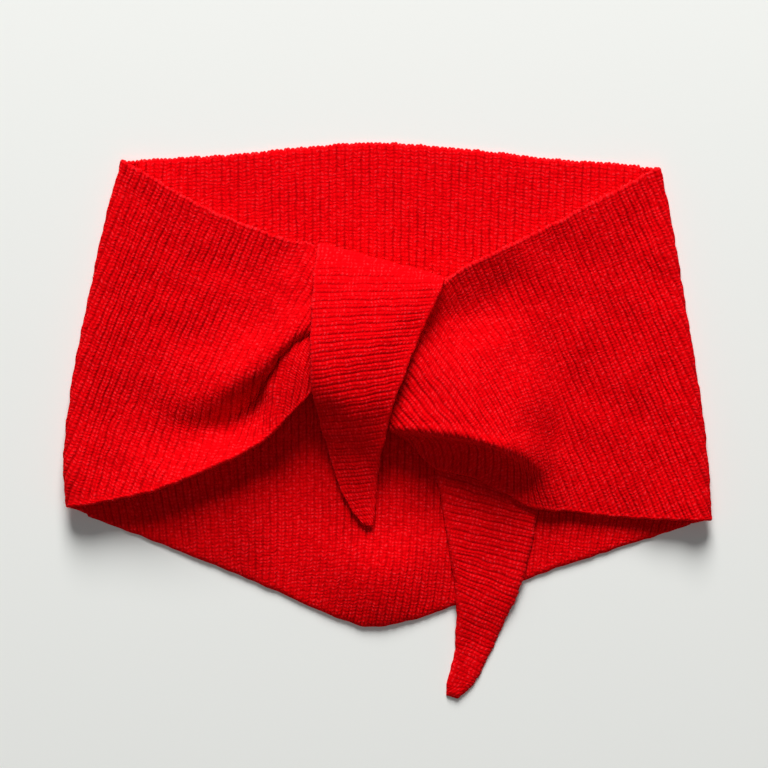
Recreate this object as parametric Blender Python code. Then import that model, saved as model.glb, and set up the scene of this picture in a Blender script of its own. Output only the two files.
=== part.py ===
"""A rib-knitted wool neckerchief, tied in front in a loose half knot and laid flat on its back.

It is one long, shallow triangle of cloth, knitted in one piece. The middle lies flat as the back panel, both
sides fold over it as the left and the right front, and the two ends cross in the knot. One end comes up
through the neck and falls over the knot as the front tail, the other leaves under the right front as the back
tail. Each stretch of cloth that shows is one wall of its own, and the layers inside the knot share one core.

Frame: X to the wearer's left seen from above, Y towards the top edge of the back, Z up from the surface that
the cloth lies on. All tables are in millimetres and give the middle of the cloth's thickness.
"""
import math

import bmesh
import bpy
import numpy as np

MM = 0.001

WALL = 2.8  # thickness of the rib knit
GAP = 0.3  # clearance between two stretches of cloth
BEND = 7.0  # how far a side fold reaches in from its outermost line
LEAD = 2.0  # flat strip between a side fold and the edge of the back panel
FLOOR_LAYER = WALL / 2  # middle of a layer that lies on the surface
SECOND_LAYER = FLOOR_LAYER + WALL + GAP  # middle of a layer that lies on the back panel

# How steeply the edges of the two layers run from each fold, as fall over the distance from it.
LEFT_EDGES = {"upper": (0.55, -0.17), "lower": (0.0, 0.38)}  # at the top corner, at the bottom corner
RIGHT_EDGES = {"upper": (0.5, 0.0), "lower": (0.0, 0.2)}

CLOTH_STEP = 7.0  # facet size on the shaped stretches
BACK_STEP = 13.0  # facet width on the flat back panel
BACK_ROWS = 14  # facets from its top edge to its bottom edge

# Upper and lower edge of the back panel, from the left fold to the right fold.
TOP_EDGE = [
    # x, y
    (-133, 138),
    (-78, 141),
    (-42, 144.5),
    (-7, 146.8),
    (27, 144.8),
    (91, 138),
    (137, 134.4),
]
BOTTOM_EDGE = [
    # x, y
    (-163, -49.5),
    (-110, -69.5),
    (-57, -91.5),
    (-26, -105),
    (-8, -109.5),
    (8, -107),
    (34, -98.5),
    (91, -78),
    (163, -54.5),
]

# Outermost line of each side fold. lift is the height of the upper layer over the lower one.
LEFT_FOLD = [
    # y, x, lift
    (137, -140, 6),
    (98, -150, 7),
    (72, -155.4, 7.5),
    (45, -161.1, 8.2),
    (10, -167, 9),
    (-12, -169.4, 10),
    (-30, -169.9, 11.5),
    (-46, -168.4, 12.5),
]
RIGHT_FOLD = [
    # y, x, lift
    (133.5, 142.8, 6),
    (108, 148, 6.5),
    (56, 156.6, 7.8),
    (6, 164.5, 8.8),
    (-7, 166.2, 9),
    (-26, 168, 9.3),
    (-53, 169.8, 10),
]

# Lines of cloth that cross the left front from its top edge to its lower edge. The shoulder is the crest that
# runs out of the knot, then come the trough behind it, the flank and crest of the rolled lower edge, and the
# lower edge itself.
LEFT_FRONT = [
    # top, upper, rise, shoulder, trough, flank, roll, hem
    [(-124, 128, 8), (-133, 88, 8), (-138, 65, 8), (-141.5, 40, 8.3), (-146, 6, 9), (-147, -10, 10.5),
     (-147, -25, 12.5), (-146, -42.3, 14.8)],
    [(-100, 114, 8), (-107, 76, 7.5), (-110, 45, 7.8), (-113, 14, 11), (-115.5, -4, 8.8), (-116, -14, 10.8),
     (-117, -24, 14.5), (-118.5, -35.6, 18.5)],
    [(-78.4, 104.5, 9.5), (-84, 75, 8.5), (-89, 42, 10), (-92, 16.5, 16.5), (-97.2, -4, 8.3), (-98.4, -12.5, 10.6),
     (-99, -19.5, 15.5), (-99.6, -28.3, 20.5)],
    [(-58, 96.8, 11), (-64, 72, 10.5), (-70, 48, 12.5), (-75, 24, 21.3), (-78, 3.2, 7.8), (-79.6, -5.5, 10.2),
     (-80.5, -13, 16), (-82, -20.3, 22.5)],
    [(-47, 93.5, 14), (-52, 76, 15), (-56.5, 55, 18), (-61.3, 31.5, 24.6), (-65.8, 17, 8.6), (-66.5, 7.6, 11),
     (-65, -1.6, 17), (-63, -9.5, 21.5)],
    [(-44, 93.5, 14.5), (-47, 76, 17), (-50, 58, 20.5), (-54.2, 38.5, 25.8), (-59, 28.8, 10), (-60.2, 22, 18.8),
     (-57.5, 8, 21.6), (-56, -2.5, 23)],
    [(-41, 92.5, 15), (-42, 76, 19), (-43.5, 62, 22), (-47, 45.2, 25.6), (-51, 38, 15), (-51.6, 35.8, 22),
     (-49.5, 23, 24), (-48.5, 5.5, 23)],
    [(-31, 84, 15.5), (-32, 71, 19.5), (-32.5, 62, 22.5), (-36, 49, 24.3), (-39.3, 44.4, 18.5), (-40.5, 43.2, 23.2),
     (-39, 33, 24.8), (-37.5, 17, 22.8)],
]

# Lines of cloth that cross the right front. Behind the raised top edge lies a dip, then the rise of the mound
# beside the knot up to its ridge and brow, which drop steeply to the flange along the lower edge.
RIGHT_FRONT = [
    # top, dip, rise, ridge, brow, under, hem
    [(128.5, 125.5, 8), (132, 104, 7.5), (138.8, 52, 8.2), (145.8, 2.5, 8.8), (147, -8, 9), (149, -26, 9.2),
     (152, -52.6, 9.6)],
    [(104, 113, 9), (107.5, 93, 7.3), (114.5, 45, 7.8), (122.5, -1, 8.2), (124, -11, 8.2), (127, -28, 8),
     (131, -51.8, 7.2)],
    [(85, 103, 9.8), (88, 84, 7.3), (94.5, 43, 7.6), (101, 2, 7.8), (103, -9, 7.8), (106, -27, 7.7),
     (110, -50, 6.3)],
    [(69, 95, 11.5), (72, 75, 8), (81, 42, 8.6), (88.5, 2, 9.2), (90, -13, 8.9), (92, -28, 8.2),
     (96, -48.2, 6.7)],
    [(54, 87.3, 14.5), (59.5, 69.5, 8.5), (69, 40, 13), (77, -2, 18.8), (79, -19, 17.8), (81, -32, 12.5),
     (85.5, -47.5, 7.6)],
    [(41, 81, 16.5), (47, 62.5, 9.2), (56, 35, 17.5), (66.5, -5, 25.5), (69, -17, 26), (71, -24.5, 13.5),
     (74, -45.6, 7.8)],
    [(32, 75, 16.5), (38, 57.5, 9.8), (46, 30, 19), (57, -8, 27.2), (58.8, -13.8, 28.5), (60, -16.5, 14),
     (58, -36.3, 7.8)],
    [(22, 61, 18), (25.4, 54, 13.5), (32.5, 24, 21), (39.3, -2.5, 27), (40.6, -8.3, 28), (41.3, -11, 13.5),
     (39, -28.3, 7.8)],
    [(13, 44, 20.3), (14.7, 38.5, 19.3), (18, 15, 22.3), (22, -0.5, 25.3), (23.5, -5.8, 25.8), (24, -8.5, 13),
     (24.5, -25, 7.8)],
    [(3, 27, 18), (3, 21, 17), (2, 10, 18.5), (1, 0, 19), (1, -3.5, 18.5), (2.5, -5.5, 11), (11, -9, 7.8)],
]

# Rows across the front tail, from where it turns under at the neck to its tip.
FRONT_TAIL = [
    # left x, left y, right x, right y, height at the left, in the middle, at the right
    (-33, 86, 25, 69.5, 11, 11, 11),
    (-35.8, 90.6, 28.5, 73.4, 14, 14, 14),
    (-36.4, 91.6, 29.5, 74, 18, 18.5, 17.8),
    (-37.3, 88, 28.8, 70.5, 21.5, 22.8, 20.5),
    (-38.7, 75, 25, 62, 26, 28, 22.8),
    (-39.7, 55, 17, 45, 29.8, 31.8, 24.8),
    (-40.3, 36, 9, 25, 31, 33, 26.8),
    (-39.5, 18, 2, 6, 28, 30.3, 25.8),
    (-36, 1, -1.5, -10, 16, 21, 19.8),
    (-31, -17, -4.8, -25, 7.2, 11, 10.5),
    (-27, -31, -6, -38, 5, 7, 6.2),
    (-20.5, -45, -7, -50, 4.9, 5.8, 5.2),
    (-13.5, -55, -8.2, -56.2, 5.3, 5.4, 5.3),
]

# Rows across the back tail, from under the right front to its tip.
BACK_TAIL = [
    # left x, left y, right x, right y
    (20, -14, 70, -27),
    (24, -24, 78.5, -43),
    (28, -42, 78, -54),
    (31.3, -63.6, 74.5, -72),
    (34.5, -82, 69, -91),
    (36, -100, 61, -108),
    (35.6, -117, 54.2, -123),
    (33.6, -131, 47.2, -136.5),
    (30.7, -141, 43, -143),
    (31, -146.2, 36.8, -147.5),
]
STEP_DOWN = 30.0  # length over which the back tail comes down from the back panel to the surface
STEP_START = 15.0  # how far past the edge of the back panel the middle of that step lies

CORE_ROWS = (0.24, 0.60)  # share of the front tail's length that the core carries
CORE_SPAN = (0.27, 0.70)  # share of its width
CORE_DRAFT = 3.0  # how far the core's foot spreads
CORE_SHOULDER = 3.0  # how much lower its sides are than its middle

KNIT_RED = (0.62, 0.004, 0.009, 1)
KNIT_ROUGHNESS = 0.95


def hermite(knots, values, at):
    """Smooth curve through values (first axis) at knots, read at each position in at."""
    knots = np.asarray(knots, float)
    values = np.asarray(values, float)
    at = np.asarray(at, float)
    chords = np.diff(values, axis=0)
    spans = np.diff(knots).reshape((-1,) + (1,) * (values.ndim - 1))
    slopes = chords / spans
    tangents = np.empty_like(values)
    tangents[0] = slopes[0]
    tangents[-1] = slopes[-1]
    tangents[1:-1] = (slopes[:-1] * spans[1:] + slopes[1:] * spans[:-1]) / (spans[1:] + spans[:-1])
    piece = np.clip(np.searchsorted(knots, at, side="right") - 1, 0, len(knots) - 2)
    shape = (-1,) + (1,) * (values.ndim - 1)
    span = np.diff(knots)[piece].reshape(shape)
    part = ((at - knots[piece]) / np.diff(knots)[piece]).reshape(shape)
    square = part * part
    cube = square * part
    return (
        (2 * cube - 3 * square + 1) * values[piece]
        + (cube - 2 * square + part) * span * tangents[piece]
        + (3 * square - 2 * cube) * values[piece + 1]
        + (cube - square) * span * tangents[piece + 1]
    )


def knots_of(rows):
    """Distances along a list of rows, each row a point or a line of points."""
    rows = np.asarray(rows, float)
    chords = np.linalg.norm(np.diff(rows, axis=0), axis=-1)
    while chords.ndim > 1:
        chords = chords.mean(axis=-1)
    return np.concatenate([[0.0], np.cumsum(chords)])


def stations(knots, step, least=1):
    """Positions along knots, each stretch between two of them divided evenly into pieces near step."""
    found = [knots[0]]
    for low, high in zip(knots[:-1], knots[1:]):
        pieces = max(least, round((high - low) / step))
        found.extend(low + (high - low) * (number + 1) / pieces for number in range(pieces))
    return np.array(found)


def loft(net, step):
    """Grid of points on the smooth surface through a net of sections, each a line of points."""
    net = np.asarray(net, float)
    across = knots_of(np.swapaxes(net, 0, 1))
    along = knots_of(net)
    lines = np.swapaxes(hermite(across, np.swapaxes(net, 0, 1), stations(across, step)), 0, 1)
    return hermite(along, lines, stations(along, step))


def curve(table, at):
    """Read a table whose first column rises or falls steadily at the positions in at."""
    table = np.asarray(table, float)
    if table[0, 0] > table[-1, 0]:
        table = table[::-1]
    return hermite(table[:, 0], table[:, 1:], np.atleast_1d(at))


def normals_of(grid):
    """Unit normals of a grid of points, up where the cloth lies flat."""
    along = np.gradient(grid, axis=0)
    across = np.gradient(grid, axis=1)
    normals = np.cross(along, across)
    normals /= np.linalg.norm(normals, axis=2, keepdims=True)
    if normals[..., 2].mean() < 0:
        normals = -normals
    return normals


def knit_material(name):
    material = bpy.data.materials.new(name)
    material.use_nodes = True
    shader = material.node_tree.nodes["Principled BSDF"]
    shader.inputs["Base Color"].default_value = KNIT_RED
    shader.inputs["Roughness"].default_value = KNIT_ROUGHNESS
    shader.inputs["Metallic"].default_value = 0.0
    material.diffuse_color = KNIT_RED
    return material


def add_solid(name, top, bottom):
    """One closed solid between two grids of points that share their rows and columns."""
    rows, columns = top.shape[:2]
    mesh = bmesh.new()
    layers = [
        [[mesh.verts.new(point * MM) for point in line] for line in layer] for layer in (top, bottom)
    ]
    for layer in layers:
        for row in range(rows - 1):
            for column in range(columns - 1):
                mesh.faces.new((
                    layer[row][column],
                    layer[row + 1][column],
                    layer[row + 1][column + 1],
                    layer[row][column + 1],
                ))
    rim = [(0, column) for column in range(columns)]
    rim += [(row, columns - 1) for row in range(1, rows)]
    rim += [(rows - 1, column) for column in range(columns - 2, -1, -1)]
    rim += [(row, 0) for row in range(rows - 2, 0, -1)]
    for here, there in zip(rim, rim[1:] + rim[:1]):
        mesh.faces.new((
            layers[0][here[0]][here[1]],
            layers[0][there[0]][there[1]],
            layers[1][there[0]][there[1]],
            layers[1][here[0]][here[1]],
        ))
    bmesh.ops.triangulate(mesh, faces=mesh.faces[:])
    bmesh.ops.recalc_face_normals(mesh, faces=mesh.faces[:])
    data = bpy.data.meshes.new(name)
    mesh.to_mesh(data)
    mesh.free()
    data.shade_smooth()
    data.set_sharp_from_angle(angle=math.radians(50))
    data.materials.append(knit_material(name))
    piece = bpy.data.objects.new(name, data)
    bpy.context.scene.collection.objects.link(piece)
    return piece


def add_wall(name, grid):
    """A wall of cloth whose middle is the grid."""
    half = normals_of(grid) * WALL / 2
    return add_solid(name, grid + half, grid - half)


def fold_line(fold, edges, inward, reach, level):
    """A line beside a side fold, reach in from it. level is -1 on the lower layer and 1 on the upper one."""
    at_top, at_bottom = edges["upper" if level > 0 else "lower"]
    line = []
    for share, (y, x, lift) in zip(np.linspace(0, 1, len(fold)), fold):
        fall = at_top + (at_bottom - at_top) * share
        line.append((x + inward * reach, y - fall * reach, FLOOR_LAYER + lift / 2 * (1 + level)))
    return line


def fold_sections(fold, edges, inward):
    """The round of a side fold, from the back panel's side up to the front, as sections of a net."""
    profile = [(BEND + LEAD, -1)]
    for angle in (-90, -50, -15, 15, 50, 90):
        turn = math.radians(angle)
        profile.append((BEND * (1 - math.cos(turn)), math.sin(turn)))
    return [fold_line(fold, edges, inward, reach, level) for reach, level in profile]


def back_side(fold, edges, inward):
    """The side edge of the back panel, just clear of where the fold begins."""
    line = np.array(fold_line(fold, edges, inward, BEND + LEAD + GAP, -1))[:, :2]
    knots = knots_of(line)
    return hermite(knots, line, np.linspace(knots[0], knots[-1], BACK_ROWS + 1))


def back_grid():
    """Middle surface of the back panel, between its four edges."""
    left = back_side(LEFT_FOLD, LEFT_EDGES, 1)
    right = back_side(RIGHT_FOLD, RIGHT_EDGES, -1)
    share = np.linspace(0, 1, round((right[0, 0] - left[0, 0]) / BACK_STEP) + 1)[:, None]
    top_x = left[0, 0] + (right[0, 0] - left[0, 0]) * share[:, 0]
    bottom_x = left[-1, 0] + (right[-1, 0] - left[-1, 0]) * share[:, 0]
    top = np.column_stack([top_x, curve(TOP_EDGE, top_x)[:, 0]])
    bottom = np.column_stack([bottom_x, curve(BOTTOM_EDGE, bottom_x)[:, 0]])
    top[0], top[-1], bottom[0], bottom[-1] = left[0], right[0], left[-1], right[-1]
    down = np.linspace(0, 1, len(left))[None, :, None]
    side = share[:, :, None]
    ruled = top[:, None] * (1 - down) + bottom[:, None] * down
    sides = left[None] * (1 - side) + right[None] * side
    corners = (
        (top[0] * (1 - side) + top[-1] * side) * (1 - down)
        + (bottom[0] * (1 - side) + bottom[-1] * side) * down
    )
    plan = ruled + sides - corners
    return np.concatenate([plan, np.full(plan.shape[:2] + (1,), FLOOR_LAYER)], axis=2)


def tail_net(rows):
    """Sections of a tail from rows of left x, y, right x, y and three heights."""
    net = []
    for left_x, left_y, right_x, right_y, *heights in rows:
        line = []
        for share in (0, 0.12, 0.5, 0.88, 1):
            height = hermite((0, 0.5, 1), np.array(heights)[:, None], [share])[0, 0]
            line.append((left_x + (right_x - left_x) * share, left_y + (right_y - left_y) * share, height))
        net.append(line)
    return net


def back_tail_height(x, y):
    """The back tail lies on the back panel, and past its lower edge on the surface."""
    past = curve(BOTTOM_EDGE, x)[0, 0] - STEP_START - y
    share = min(1, max(0, past / STEP_DOWN + 0.5))
    return SECOND_LAYER - (SECOND_LAYER - FLOOR_LAYER) * share * share * (3 - 2 * share)


def add_back_tail():
    grid = loft(tail_net([row + (SECOND_LAYER,) * 3 for row in BACK_TAIL]), CLOTH_STEP / 2)
    for line in grid:
        for point in line:
            point[2] = back_tail_height(point[0], point[1])
    top = grid + (0, 0, WALL / 2)
    bottom = grid - (0, 0, WALL / 2)
    add_solid("back_tail", top, bottom)


def add_front_tail_and_core():
    """The front tail, and under it the core, whose crown is made from the tail's own points moved down."""
    grid = loft(tail_net(FRONT_TAIL), CLOTH_STEP)
    add_wall("front_tail", grid)
    rows, columns = grid.shape[:2]
    row_from, row_to = (round(share * (rows - 1)) for share in CORE_ROWS)
    column_from, column_to = (round(share * (columns - 1)) for share in CORE_SPAN)
    carried = grid - normals_of(grid) * (WALL / 2 + GAP)
    crown = carried[row_from:row_to + 1, column_from:column_to + 1].copy()
    side = np.linspace(-1, 1, crown.shape[1])[None, :]
    end = np.linspace(-1, 1, crown.shape[0])[:, None]
    crown[..., 2] -= CORE_SHOULDER * np.maximum(side ** 4, end ** 4)
    foot = crown.copy()
    foot[..., 2] = WALL + GAP
    foot[..., 0] += CORE_DRAFT * side
    add_solid("knot_core", crown, foot)


def build():
    for old in list(bpy.data.objects):
        bpy.data.objects.remove(old)
    add_solid("back_panel", back_grid() + (0, 0, WALL / 2), back_grid() - (0, 0, WALL / 2))
    add_wall("left_front", loft(fold_sections(LEFT_FOLD, LEFT_EDGES, 1) + LEFT_FRONT, CLOTH_STEP))
    add_wall("right_front", loft(fold_sections(RIGHT_FOLD, RIGHT_EDGES, -1) + RIGHT_FRONT, CLOTH_STEP))
    add_front_tail_and_core()
    add_back_tail()


build()
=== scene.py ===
"""The looks of the rib-knitted wool neckerchief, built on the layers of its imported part.

Every stretch of cloth is made again as a fine ribbed shell on the middle surface that its solid has. Only the
back panel's swell, the texture and the cloth's slight unevenness are made here alone. The tables are in
millimetres, in the part's own frame. u is the distance along the cast-on edge, so a rib is a line of
constant u.
"""

import math

import bpy
import numpy as np
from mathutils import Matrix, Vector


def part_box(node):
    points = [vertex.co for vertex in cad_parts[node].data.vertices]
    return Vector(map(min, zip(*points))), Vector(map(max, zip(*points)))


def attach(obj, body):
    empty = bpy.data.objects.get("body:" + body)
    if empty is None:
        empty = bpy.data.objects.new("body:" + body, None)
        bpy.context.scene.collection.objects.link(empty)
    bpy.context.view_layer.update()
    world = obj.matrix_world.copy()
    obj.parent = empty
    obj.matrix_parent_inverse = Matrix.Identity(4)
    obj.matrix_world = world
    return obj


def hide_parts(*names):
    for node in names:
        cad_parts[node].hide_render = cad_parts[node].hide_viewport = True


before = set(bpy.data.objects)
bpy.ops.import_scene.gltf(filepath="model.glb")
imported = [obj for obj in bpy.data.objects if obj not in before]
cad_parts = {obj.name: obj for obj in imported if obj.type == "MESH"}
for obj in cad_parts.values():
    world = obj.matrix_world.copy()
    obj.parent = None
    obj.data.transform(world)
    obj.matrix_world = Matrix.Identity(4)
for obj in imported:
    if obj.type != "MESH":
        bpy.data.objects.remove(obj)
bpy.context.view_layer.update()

MM = 0.001

# ---------------------------------------------------------------- the cloth

WALL = 2.8  # thickness of the rib knit
GAP = 0.3  # clearance between two stretches of cloth
BEND = 7.0  # how far a side fold reaches in from its outermost line
LEAD = 2.0  # flat strip between a side fold and the edge of the back panel
FLOOR_LAYER = WALL / 2  # middle of a layer that lies on the surface
SECOND_LAYER = FLOOR_LAYER + WALL + GAP  # middle of a layer that lies on the back panel

RIB = 4.3  # from one rib to the next
STITCH = 2.0  # from one course to the next
GROOVE = 0.95  # depth between two ribs where they lie closed
GROOVE_WIDTH = 0.62
CREASE = 0.34  # depth between the two legs of a rib
CREASE_WIDTH = 0.4
EDGE_ROUND = 1.3  # how far in from an edge the cloth reaches its full thickness
LAID_ROUND = 2.8  # the same where the cloth lies flat on what is below it
THINNEST = 0.04  # share of EDGE_ROUND or LAID_ROUND at which the very edge is cut off
FAN = 1800.0  # how slowly the ribs of the back draw together towards its lower edge
FAN_CENTRE = -25.0  # where a rib of the back runs straight down
FAN_PULL = 1.065  # how much closer than RIB the ribs of the back lie

# How steeply the edges of the two layers run from each fold, as fall over the distance from it.
LEFT_EDGES = {"upper": (0.55, -0.17), "lower": (0.0, 0.38)}
RIGHT_EDGES = {"upper": (0.5, 0.0), "lower": (0.0, 0.2)}

TOP_EDGE = [(-133, 138), (-78, 141), (-42, 144.5), (-7, 146.8), (27, 144.8), (91, 138), (137, 134.4)]
BOTTOM_EDGE = [
    (-163, -49.5), (-110, -69.5), (-57, -91.5), (-26, -105), (-8, -109.5), (8, -107), (34, -98.5),
    (91, -78), (163, -54.5),
]
# y, x, lift of the upper layer
LEFT_FOLD = [
    (137, -140, 6), (98, -150, 7), (72, -155.4, 7.5), (45, -161.1, 8.2), (10, -167, 9), (-12, -169.4, 10),
    (-30, -169.9, 11.5), (-46, -168.4, 12.5),
]
RIGHT_FOLD = [
    (133.5, 142.8, 6), (108, 148, 6.5), (56, 156.6, 7.8), (6, 164.5, 8.8), (-7, 166.2, 9), (-26, 168, 9.3),
    (-53, 169.8, 10),
]
# top, upper, rise, shoulder, trough, flank, roll, hem
LEFT_FRONT = [
    [(-124, 128, 8), (-133, 88, 8), (-138, 65, 8), (-141.5, 40, 8.3), (-146, 6, 9), (-147, -10, 10.5),
     (-147, -25, 12.5), (-146, -42.3, 14.8)],
    [(-100, 114, 8), (-107, 76, 7.5), (-110, 45, 7.8), (-113, 14, 11), (-115.5, -4, 8.8), (-116, -14, 10.8),
     (-117, -24, 14.5), (-118.5, -35.6, 18.5)],
    [(-78.4, 104.5, 9.5), (-84, 75, 8.5), (-89, 42, 10), (-92, 16.5, 16.5), (-97.2, -4, 8.3),
     (-98.4, -12.5, 10.6), (-99, -19.5, 15.5), (-99.6, -28.3, 20.5)],
    [(-58, 96.8, 11), (-64, 72, 10.5), (-70, 48, 12.5), (-75, 24, 21.3), (-78, 3.2, 7.8), (-79.6, -5.5, 10.2),
     (-80.5, -13, 16), (-82, -20.3, 22.5)],
    [(-47, 93.5, 14), (-52, 76, 15), (-56.5, 55, 18), (-61.3, 31.5, 24.6), (-65.8, 17, 8.6), (-66.5, 7.6, 11),
     (-65, -1.6, 17), (-63, -9.5, 21.5)],
    [(-44, 93.5, 14.5), (-47, 76, 17), (-50, 58, 20.5), (-54.2, 38.5, 25.8), (-59, 28.8, 10),
     (-60.2, 22, 18.8), (-57.5, 8, 21.6), (-56, -2.5, 23)],
    [(-41, 92.5, 15), (-42, 76, 19), (-43.5, 62, 22), (-47, 45.2, 25.6), (-51, 38, 15), (-51.6, 35.8, 22),
     (-49.5, 23, 24), (-48.5, 5.5, 23)],
    [(-31, 84, 15.5), (-32, 71, 19.5), (-32.5, 62, 22.5), (-36, 49, 24.3), (-39.3, 44.4, 18.5),
     (-40.5, 43.2, 23.2), (-39, 33, 24.8), (-37.5, 17, 22.8)],
]
# u at each of those points
LEFT_RIBS = [
    (-134, -141.3, -145.7, -152.2, -160.5, -165, -169.5, -175.2),
    (-161.5, -170, -179.2, -188.5, -191, -193.2, -195.6, -199),
    (-185, -191.5, -200.2, -208.5, -209.2, -210, -211.1, -213.7),
    (-207, -211, -215.7, -222.5, -223.6, -224.3, -225.9, -228.3),
    (-218.3, -221.5, -226.5, -233, -234.2, -236.5, -240.5, -243.5),
    (-221.3, -225.5, -231.5, -237.2, -238.6, -243, -248.5, -252),
    (-224.2, -230, -235.5, -241.6, -244.2, -248.5, -255.5, -261),
    (-236.7, -241.5, -245, -250, -252.3, -257, -264.5, -271.5),
]
# top, dip, rise, ridge, brow, under, hem
RIGHT_FRONT = [
    [(128.5, 125.5, 8), (132, 104, 7.5), (138.8, 52, 8.2), (145.8, 2.5, 8.8), (147, -8, 9), (149, -26, 9.2),
     (152, -52.6, 9.6)],
    [(104, 113, 9), (107.5, 93, 7.3), (114.5, 45, 7.8), (122.5, -1, 8.2), (124, -11, 8.2), (127, -28, 8),
     (131, -51.8, 7.2)],
    [(85, 103, 9.8), (88, 84, 7.3), (94.5, 43, 7.6), (101, 2, 7.8), (103, -9, 7.8), (106, -27, 7.7),
     (110, -50, 6.3)],
    [(69, 95, 11.5), (72, 75, 8), (81, 42, 8.6), (88.5, 2, 9.2), (90, -13, 8.9), (92, -28, 8.2),
     (96, -48.2, 6.7)],
    [(54, 87.3, 14.5), (59.5, 69.5, 8.5), (69, 40, 13), (77, -2, 18.8), (79, -19, 17.8), (81, -32, 12.5),
     (85.5, -47.5, 7.6)],
    [(41, 81, 16.5), (47, 62.5, 9.2), (56, 35, 17.5), (66.5, -5, 25.5), (69, -17, 26), (71, -24.5, 13.5),
     (74, -45.6, 7.8)],
    [(32, 75, 16.5), (38, 57.5, 9.8), (46, 30, 19), (57, -8, 27.2), (58.8, -13.8, 28.5), (60, -16.5, 14),
     (58, -36.3, 7.8)],
    [(22, 61, 18), (25.4, 54, 13.5), (32.5, 24, 21), (39.3, -2.5, 27), (40.6, -8.3, 28), (41.3, -11, 13.5),
     (39, -28.3, 7.8)],
    [(13, 44, 20.3), (14.7, 38.5, 19.3), (18, 15, 22.3), (22, -0.5, 25.3), (23.5, -5.8, 25.8), (24, -8.5, 13),
     (24.5, -25, 7.8)],
    [(3, 27, 18), (3, 21, 17), (2, 10, 18.5), (1, 0, 19), (1, -3.5, 18.5), (2.5, -5.5, 11), (11, -9, 7.8)],
]
# u at each of those points
RIGHT_RIBS = [
    (184, 189.2, 203.2, 216.1, 219.1, 224.3, 231.9),
    (211.4, 216, 228.3, 238.9, 241.4, 245.3, 250.9),
    (232.8, 237.4, 247.5, 257.5, 259.9, 264.2, 269.5),
    (251, 255.5, 261, 270, 274, 278, 281.7),
    (268, 269.8, 274.5, 285, 289.5, 291, 292.3),
    (282, 284, 291.5, 302.3, 305.2, 307, 305.3),
    (291.5, 294.2, 305, 316.6, 319.1, 321.5, 323),
    (306.5, 308, 320, 329.6, 332, 339.5, 343.3),
    (322, 325.5, 335.5, 341.5, 344, 353.5, 358),
    (337, 341.5, 349.5, 356, 358.5, 368, 371),
]
# u where a side fold has come round to the front, a value for each of its rows
LEFT_TURN = (-124.7, -128.2, -132.9, -138, -145, -149.6, -154.8, -160)
RIGHT_TURN = (175.5, 180.4, 192.5, 204.4, 207.8, 213.2, 222.1)
# how far the ribs of the back give way near each side fold, at y
LEFT_SLACK = [(140, 0.3), (98, 6.2), (60, 10.9), (10, 13.3), (-12, 11.7), (-35, 4.6), (-50, 1.2), (-70, -0.1)]
RIGHT_SLACK = [(138, -0.4), (108, -1.8), (56, -2.9), (6, -5), (-26, -3.9), (-53, 1.4), (-80, 7.4)]
# left x, left y, right x, right y, height at the left, in the middle, at the right
FRONT_TAIL = [
    (-33, 86, 25, 69.5, 11, 11, 11),
    (-35.8, 90.6, 28.5, 73.4, 14, 14, 14),
    (-36.4, 91.6, 29.5, 74, 18, 18.5, 17.8),
    (-37.3, 88, 28.8, 70.5, 21.5, 22.8, 20.5),
    (-38.7, 75, 25, 62, 26, 28, 22.8),
    (-39.7, 55, 17, 45, 29.8, 31.8, 24.8),
    (-40.3, 36, 9, 25, 31, 33, 26.8),
    (-39.5, 18, 2, 6, 28, 30.3, 25.8),
    (-36, 1, -1.5, -10, 16, 21, 19.8),
    (-31, -17, -4.8, -25, 7.2, 11, 10.5),
    (-27, -31, -6, -38, 5, 7, 6.2),
    (-20.5, -45, -7, -50, 4.9, 5.8, 5.2),
    (-13.5, -55, -8.2, -56.2, 5.3, 5.4, 5.3),
]
# left x, left y, right x, right y
BACK_TAIL = [
    (20, -14, 70, -27), (24, -24, 78.5, -43), (28, -42, 78, -54), (31.3, -63.6, 74.5, -72),
    (34.5, -82, 69, -91), (36, -100, 61, -108), (35.6, -117, 54.2, -123), (33.6, -131, 47.2, -136.5),
    (30.7, -141, 43, -143), (31, -146.2, 36.8, -147.5),
]
STEP_DOWN = 30.0  # length over which the back tail comes down to the floor past the back panel
STEP_START = 13.0  # how far past the edge of the back panel the middle of that step lies
SWELL = 6.4  # how high the back panel lifts before it comes down to its lower edge
SWELL_AT = 29.0  # how far in from that edge
SWELL_CENTRE = -3  # x
SWELL_WIDTH = 29
SWELL_FADE = 17  # how gently the swell dies out further in
SLOPE = 5.0  # how high the back panel rises under the left front
SLOPE_LENGTH = 52  # how far in from its lower edge
# how far the ribs turn from the rows, 1 where they run across the picture
FRONT_TAIL_SLANT = (1, 1, 1, 1, 1.05, 1.3, 1.55, 1.6, 1.45, 1.4, 1.35, 1.3, 1.2)
FRONT_TAIL_DROOP = 0.002  # how much they bend towards the right edge
BACK_TAIL_SLANT = (0.3, 0.15, 0, -0.2, -0.5, -0.38, -0.35, -0.3, 0, 0)
# y, how closed the ribs lie
FRONT_TAIL_DEPTH = [(93, 0.32), (68, 0.35), (48, 0.37), (30, 0.38), (5, 0.36), (-25, 0.3), (-56, 0.22)]
BACK_TAIL_DEPTH = [(-14, 0.45), (-60, 0.42), (-100, 0.33), (-146, 0.1)]

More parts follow.
